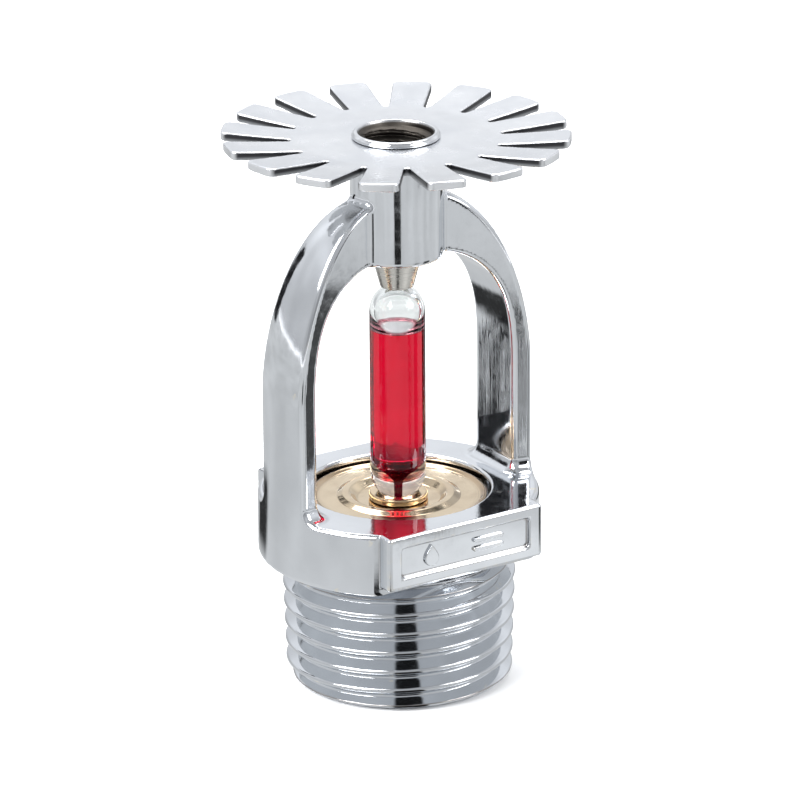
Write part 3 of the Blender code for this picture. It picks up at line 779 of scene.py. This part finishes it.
def bore_chrome(name):
    """Chrome that ends at the mouth of the bore; the thread inside it is painted near black, a painted
    shade for the deep bore.
    """
    made = Surface(name, Metallic=1.0)
    deep = made.remap(made.axis_distance()[0], 3.3, 3.42, 1.0, 0.0)
    # Painted shade: the thread inside the bore gets a near-black colour, darker in patches.
    bore_shade = made.mix(made.noise(1.2, 3.0), (0.10, 0.09, 0.08), (0.045, 0.04, 0.035))
    clouds = made.remap(made.noise(0.5, 3.0), 0.3, 0.7, 0.0, 1.0)
    plate = made.mix(clouds, (0.78, 0.79, 0.81), (0.71, 0.725, 0.75))
    made.drive("Base Color", made.mix(deep, plate, bore_shade))
    made.drive("Roughness", made.remap(deep, 0.0, 1.0, 0.09, 0.45))
    made.bump((made.noise(1.1, 2.0), 0.006), (made.noise(5.0, 2.0), 0.001))
    return made.material


def stamped_chrome(name):
    """Satin chrome on stamped sheet. The walls of its slots are rougher and get painted shade: dark grey
    at the lower edge, near black above.
    """
    made = Surface(name, Metallic=1.0)
    split = made.node("ShaderNodeSeparateXYZ")
    made.link(made.node("ShaderNodeNewGeometry").outputs["Normal"], split.inputs["Vector"])
    wall = made.remap(made.math("ABSOLUTE", split.outputs["Z"], 0), 0.35, 0.75, 1.0, 0.0)
    away, up = made.axis_distance()
    rise = made.math("MULTIPLY", made.math("SUBTRACT", away, 8.4), DEFLECTOR_RISE / 7)
    height = made.math("SUBTRACT", up, made.math("MAXIMUM", rise, 0.0))
    # Painted shade in the slots: their walls are coloured dark grey near the lower face and near black
    # above; the outer rim's wall stays bright.
    wall_shade_height = made.remap(height, DEFLECTOR_BOTTOM_Z + 0.05, DEFLECTOR_BOTTOM_Z + 0.4, 0.0, 1.0)
    slot_wall_shade = made.mix(wall_shade_height, (0.42, 0.43, 0.45), (0.07, 0.07, 0.075))
    rim = made.remap(away, DEFLECTOR_R - 0.5, DEFLECTOR_R - 0.1, 0.0, 1.0)
    wall_colour_shaded = made.mix(rim, slot_wall_shade, (0.84, 0.85, 0.87))
    tone = made.remap(made.noise(0.16, 3.0), 0.3, 0.7, 0.0, 1.0)
    plain = made.mix(tone, (0.80, 0.81, 0.83), (0.72, 0.735, 0.765))
    made.drive("Base Color", made.mix(wall, plain, wall_colour_shaded))
    satin = made.remap(made.noise(0.8, 3.0), 0.3, 0.75, 0.22, 0.28)
    made.drive("Roughness", made.math("ADD", satin, made.math("MULTIPLY", wall, 0.12)))
    made.bump((made.noise(0.13, 1.0), 0.09), (made.noise(0.4, 1.0), 0.004), (made.noise(4.0, 2.0), 0.0002))
    return made.material


def turned_metal(name, colour, dark, low, high, groove, gap_shade_from=1000.0):
    """Turned metal with fine rings, patchy tarnish, painted shade in its recesses, and painted shade from
    one radius outwards for the gap round it.
    """
    made = Surface(name, Metallic=1.0)
    tarnish_and_gap_shade = made.remap(made.noise(0.35, 3.0, 0.5, 0.4), 0.4, 0.75, 0.0, 0.4)
    # Painted shade: the colour darkens in concave recesses, found by pointiness.
    hollow_shade = made.remap(made.pointiness(), 0.44, 0.495, 1.0, 0.0)
    # Painted shade from the given radius outwards, where the part meets the bore round it; random tarnish
    # and this shade share one mask.
    edge = made.remap(made.axis_distance()[0], gap_shade_from, gap_shade_from + 0.9, 0.0, 0.8)
    tarnish_and_gap_shade = made.math("MAXIMUM", tarnish_and_gap_shade, edge)
    plain = made.mix(tarnish_and_gap_shade, colour, tuple(0.4 * a + 0.6 * b for a, b in zip(colour, dark)))
    made.drive("Base Color", made.mix(hollow_shade, plain, dark))
    made.drive("Roughness", made.remap(made.rings(9.0), 0.3, 0.7, low, high))
    made.bump((made.rings(14.0), groove), (made.noise(0.6, 2.0), groove * 3))
    return made.material


def clear_glass():
    """Clear glass, tinted brown at its bottom end: a painted reflection of the brass seat round it."""
    made = Surface("bulb_glass_material", Transmission_Weight=1.0, IOR=1.5)
    made.drive("Roughness", made.remap(made.noise(1.1, 4.0), 0.5, 0.8, 0.0, 0.02))
    tint = made.remap(made.noise(0.3, 2.0), 0.3, 0.7, 0.0, 1.0)
    clear = made.mix(tint, (0.97, 0.98, 0.98), (0.93, 0.96, 0.95))
    # Painted reflection: a brown tint low on the glass stands in for the brass seat reflected in it.
    sealed = made.remap(made.axis_distance()[1], 17.6, 19.8, 1.0, 0.0)
    made.drive("Base Color", made.mix(sealed, clear, (0.66, 0.52, 0.42)))
    made.bump((made.noise(0.5, 1.0), 0.004),)
    return made.material


def red_liquid():
    """Dyed liquid. It meets the glass with almost no change of index, so its own is near 1."""
    made = Surface("red_liquid_material", Transmission_Weight=1.0, IOR=1.01, Roughness=0.0)
    _, up = made.axis_distance()
    # Painted shade: the liquid's colour darkens towards the tip at the bottom.
    deep = made.remap(up, 18.6, 23.0, 1.0, 0.0)
    swirl = made.noise(0.35, 3.0, 0.5, 0.8)
    bright = made.mix(made.remap(swirl, 0.3, 0.7, 0.0, 1.0), (0.80, 0.006, 0.036), (0.70, 0.004, 0.028))
    made.drive("Base Color", made.mix(deep, bright, (0.10, 0.002, 0.014)))
    return made.material


def liquid_surface():
    """Mirror of the liquid's surface, pinker towards the glass."""
    made = Surface("liquid_surface_material", Metallic=1.0)
    edge = made.remap(made.axis_distance()[0], 1.3, 1.95, 0.0, 1.0)
    made.drive("Base Color", made.mix(edge, (0.83, 0.80, 0.81), (0.62, 0.20, 0.25)))
    made.drive("Roughness", made.remap(made.noise(1.5, 2.0), 0.3, 0.7, 0.03, 0.1))
    made.bump((made.noise(0.8, 1.0), 0.01),)
    return made.material


def film():
    """Pale, matt sealing film."""
    made = Surface("ptfe_film_material", IOR=1.35)
    made.drive("Base Color", made.mix(made.noise(1.5, 3.0), (0.9, 0.89, 0.86), (0.82, 0.81, 0.77)))
    made.drive("Roughness", made.remap(made.noise(4.0, 3.0), 0.3, 0.7, 0.4, 0.6))
    made.bump((made.noise(8.0, 2.0), 0.004),)
    return made.material


def pale_floor():
    """Plain floor, pale grey with the faintest clouds."""
    made = Surface("floor_material", Roughness=0.7, Specular_IOR_Level=0.2)
    made.drive("Base Color", made.mix(made.noise(0.02, 2.0), (0.93, 0.93, 0.935), (0.915, 0.915, 0.92)))
    return made.material


def wear(obj, material):
    """Puts a material on every slot of an object, adding a slot to its mesh if it has none."""
    if not obj.material_slots:
        obj.data.materials.append(material)
    for slot in obj.material_slots:
        slot.link = "OBJECT"
        slot.material = material


# ---------------------------------------------------------------- pieces
casting = field_piece("frame_casting", casting_field, (-13.0, -11.4, 10.6), (13.0, 11.4, 49.8), 0.2)
deflector = field_piece(
    "deflector_stamped", deflector_field, (-15.7, -15.7, 49.2), (15.7, 15.7, 51.2), 0.14
)
inlet_thread = make_inlet_thread()
nose = make_nose()
marks = [make_plate_marks(-1), make_plate_marks(1)]
screw = make_screw()
glass = make_glass()
liquid = make_liquid()
surface = make_liquid_surface()
seat = make_seat()
cap = make_cap()

cast_chrome = chrome("cast_chrome", 0.012, 0.001, 0.006)
plate_chrome = stamped_chrome("stamped_chrome")
thread_chrome = chrome("thread_chrome", 0.004, 0.0008, 0.0, (0.73, 0.755, 0.79))

pieces = [
    (casting, "frame", "frame", "chrome_frame", cast_chrome),
    (inlet_thread, "frame", "frame", "chrome_frame", thread_chrome),
    (nose, "frame", "frame", "chrome_frame", bore_chrome("bore_chrome")),
    (marks[0], "frame", "frame", "chrome_frame", cast_chrome),
    (marks[1], "frame", "frame", "chrome_frame", cast_chrome),
    (deflector, "frame", "deflector", "chrome_deflector", plate_chrome),
    (
        screw,
        "screw",
        "compression_screw",
        "screw_metal",
        turned_metal("nickelled_brass", (0.66, 0.64, 0.60), (0.30, 0.27, 0.23), 0.16, 0.32, 0.0012),
    ),
    (glass, "bulb", "bulb_glass", "bulb_glass", clear_glass()),
    (liquid, "bulb", "bulb_liquid", "red_liquid", red_liquid()),
    (surface, "bulb", "bulb_liquid", "red_liquid", liquid_surface()),
    (
        seat,
        "valve",
        "bulb_seat",
        "seat_brass",
        turned_metal("seat_brass_material", (0.78, 0.62, 0.42), (0.36, 0.22, 0.12), 0.12, 0.26, 0.0012),
    ),
    (
        cap,
        "valve",
        "pip_cap",
        "cap_brass",
        turned_metal("cap_brass_material", (0.72, 0.59, 0.42), (0.30, 0.18, 0.10), 0.08, 0.2, 0.0006, 6.8),
    ),
]
for piece, body, node, slot, material in pieces:
    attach(piece, body)
    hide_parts(node)
    wear(piece, material)

spring_steel = turned_metal(
    "spring_steel_material", (0.56, 0.55, 0.53), (0.3, 0.28, 0.25), 0.22, 0.4, 0.002
)
wear(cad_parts["disc_spring"], spring_steel)
sealing_film = film()
for node in ("ptfe_film_upper", "ptfe_film_lower"):
    wear(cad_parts[node], sealing_film)


# ---------------------------------------------------------------- stage, lamps and camera
def sheet(name, corners):
    """A flat stage card through these corners (metres)."""
    mesh = bpy.data.meshes.new(name)
    mesh.from_pydata(corners, [], [tuple(range(len(corners)))])
    obj = place(name, mesh)
    return obj


floor = sheet("floor", [(-3, -3, 0), (3, -3, 0), (3, 3, 0), (-3, 3, 0)])
wear(floor, pale_floor())


def polar(degrees, radius, z):
    """A point at this angle from the view direction, positive to the viewer's right."""
    angle = math.radians(VIEW_AZIMUTH - 90 + degrees)
    return (radius * math.cos(angle), radius * math.sin(angle), z)


def unseen(obj, *rays):
    """Hides a stage card from camera, diffuse and shadow rays, and from these rays too."""
    for ray in ("camera", "diffuse", "shadow", *rays):
        setattr(obj, "visible_" + ray, False)


def make_reflector(name, unseen_by, height, low, high, gaps, streaks):
    """Glowing card round the foot that only mirrors or only the glass sees, grey with dark gaps."""
    steps = 96
    ring = []
    for radius in (CARD_INNER_R, CARD_OUTER_R):
        for i in range(steps):
            turned = TURN * i / steps
            ring.append((radius * math.cos(turned), radius * math.sin(turned), height))
    quads = []
    for i in range(steps):
        after = (i + 1) % steps
        quads.append((i, steps + i, steps + after, after))
    mesh = bpy.data.meshes.new(name)
    mesh.from_pydata(ring, [], quads)
    obj = place(name, mesh)
    obj.rotation_euler.z = math.radians(VIEW_AZIMUTH - 90)
    unseen(obj, unseen_by)

    made = Surface(name + "_material")
    away, _ = made.axis_distance()
    split = made.node("ShaderNodeSeparateXYZ")
    made.link(made.place, split.inputs["Vector"])
    radians = made.math("ARCTAN2", split.outputs["Y"], split.outputs["X"])
    angle = made.math("MULTIPLY", radians, 180 / math.pi)

    def window(value, centre, half, soft):
        offset = made.math("ABSOLUTE", made.math("SUBTRACT", value, centre), 0)
        return made.remap(offset, half, half + soft, 1.0, 0.0)

    def patch(centre, half, soft, nearest, farthest):
        reach = window(away, (nearest + farthest) / 2, (farthest - nearest) / 2, 8.0)
        return made.math("MULTIPLY", window(angle, centre, half, soft), reach)

    def darkened(light, shade):
        return made.math("MULTIPLY", light, made.math("SUBTRACT", 1.0, shade))

    light = made.remap(made.noise(0.02, 2.0), 0.3, 0.7, low, high)
    for *where, depth in gaps:
        light = darkened(light, made.math("MULTIPLY", patch(*where), depth))
    for *where, fineness in streaks:
        stripes = made.node("ShaderNodeTexNoise", noise_dimensions="1D")
        stripes.inputs["Scale"].default_value = fineness
        stripes.inputs["Detail"].default_value = 2.0
        made.link(angle, stripes.inputs["W"])
        dark = made.remap(stripes.outputs["Fac"], 0.46, 0.53, 0.98, 0.0)
        light = darkened(light, made.math("MULTIPLY", patch(*where), dark))
    glow = made.node("ShaderNodeEmission")
    glow.inputs["Color"].default_value = (0.97, 0.99, 1.0, 1)
    made.link(light, glow.inputs["Strength"])
    made.link(glow.outputs["Emission"], made.tree.nodes["Material Output"].inputs["Surface"])
    wear(obj, made.material)


make_reflector("mirror_card", "transmission", 0.0002, 0.62, 0.78, REFLECTED_GAPS, REFLECTED_STREAKS)
make_reflector("glass_card", "glossy", 0.0003, 0.92, 1.05, SEEN_THROUGH_GAPS, [])


def make_flags():
    """Standing dark strips, seen only in reflections, that streak the far arm."""
    made = Surface("flag_material", Roughness=1.0, Specular_IOR_Level=0.0)
    made.drive("Base Color", made.mix(made.noise(0.5, 1.0), (0.004, 0.004, 0.004), (0.02, 0.02, 0.022)))
    for number, (degrees, reach, first, last, low, high) in enumerate(FLAGS):
        out = Vector(polar(degrees, reach, 0))
        aside = Vector(polar(degrees + 90, 1, 0))
        near, far = out + aside * first, out + aside * last
        corners = [(*near.xy, low), (*far.xy, low), (*far.xy, high), (*near.xy, high)]
        obj = sheet(f"flag_{number}", [tuple(c * MM for c in p) for p in corners])
        unseen(obj, "transmission")
        wear(obj, made.material)


make_flags()


def softbox(name, degrees, elevation, distance, width, height, power):
    """A soft lamp turned to the object, at this angle from the front and this elevation."""
    lamp = bpy.data.lights.new(name, "AREA")
    lamp.shape = "RECTANGLE"
    lamp.size = width
    lamp.size_y = height
    lamp.energy = power
    obj = bpy.data.objects.new(name, lamp)
    bpy.context.scene.collection.objects.link(obj)
    x, y, _ = polar(degrees, distance * math.cos(math.radians(elevation)), 0)
    obj.location = TARGET + Vector((x, y, distance * math.sin(math.radians(elevation))))
    obj.rotation_euler = (TARGET - obj.location).to_track_quat("-Z", "Y").to_euler()


softbox("key_light", -55, 45, 0.9, 0.6, 0.6, 9.0)
softbox("fill_light", 70, 35, 1.0, 0.5, 0.7, 5.0)
softbox("top_light", 180, 65, 0.9, 0.8, 0.5, 7.0)


def make_world():
    """Pale, softly clouded sky, brightest behind the object, dimmer near the floor and overhead."""
    world = bpy.data.worlds.new("studio")
    world.use_nodes = True
    tree = world.node_tree
    direction = tree.nodes.new("ShaderNodeTexCoord").outputs["Generated"]

    def remap(value, *limits):
        node = tree.nodes.new("ShaderNodeMapRange")
        for socket, limit in zip(("From Min", "From Max", "To Min", "To Max"), limits):
            node.inputs[socket].default_value = limit
        tree.links.new(value, node.inputs["Value"])
        return node.outputs["Result"]

    def product(first, second):
        node = tree.nodes.new("ShaderNodeMath")
        node.operation = "MULTIPLY"
        tree.links.new(first, node.inputs[0])
        tree.links.new(second, node.inputs[1])
        return node.outputs["Value"]

    facing = tree.nodes.new("ShaderNodeVectorMath")
    facing.operation = "DOT_PRODUCT"
    facing.inputs[1].default_value = (0.545, 0.839, 0.0)
    tree.links.new(direction, facing.inputs[0])
    clouds = tree.nodes.new("ShaderNodeTexNoise")
    clouds.inputs["Scale"].default_value = 2.2
    clouds.inputs["Detail"].default_value = 1.0
    tree.links.new(direction, clouds.inputs["Vector"])
    split = tree.nodes.new("ShaderNodeSeparateXYZ")
    tree.links.new(direction, split.inputs[0])

    behind = remap(facing.outputs["Value"], -1.0, 1.0, 0.55, 1.05)
    varied = remap(clouds.outputs["Fac"], 0.3, 0.7, 0.72, 1.1)
    low_sky = remap(split.outputs["Z"], 0.1, 0.45, 0.82, 1.12)
    overhead = remap(split.outputs["Z"], 0.55, 0.95, 1.0, 0.55)
    background = tree.nodes["Background"]
    background.inputs["Color"].default_value = (0.93, 0.95, 0.98, 1)
    strength = product(product(behind, varied), product(low_sky, overhead))
    tree.links.new(strength, background.inputs["Strength"])
    bpy.context.scene.world = world


make_world()

camera_data = bpy.data.cameras.new("camera")
camera_data.lens = LENS
camera_data.sensor_width = 36.0
camera_data.shift_x, camera_data.shift_y = LENS_SHIFT
camera_data.clip_start = 0.01
camera_data.clip_end = 20
camera = bpy.data.objects.new("camera", camera_data)
bpy.context.scene.collection.objects.link(camera)
azimuth, elevation = math.radians(VIEW_AZIMUTH), math.radians(VIEW_ELEVATION)
level = math.cos(elevation)
back = Vector((math.sin(azimuth) * level, -math.cos(azimuth) * level, math.sin(elevation)))
camera.location = TARGET + back * VIEW_DISTANCE
tilt = Matrix.Rotation(math.radians(VIEW_ROLL), 4, "Z")
camera.rotation_euler = ((-back).to_track_quat("-Z", "Y").to_matrix().to_4x4() @ tilt).to_euler()
bpy.context.scene.camera = camera
bpy.context.scene.view_settings.view_transform = "Standard"
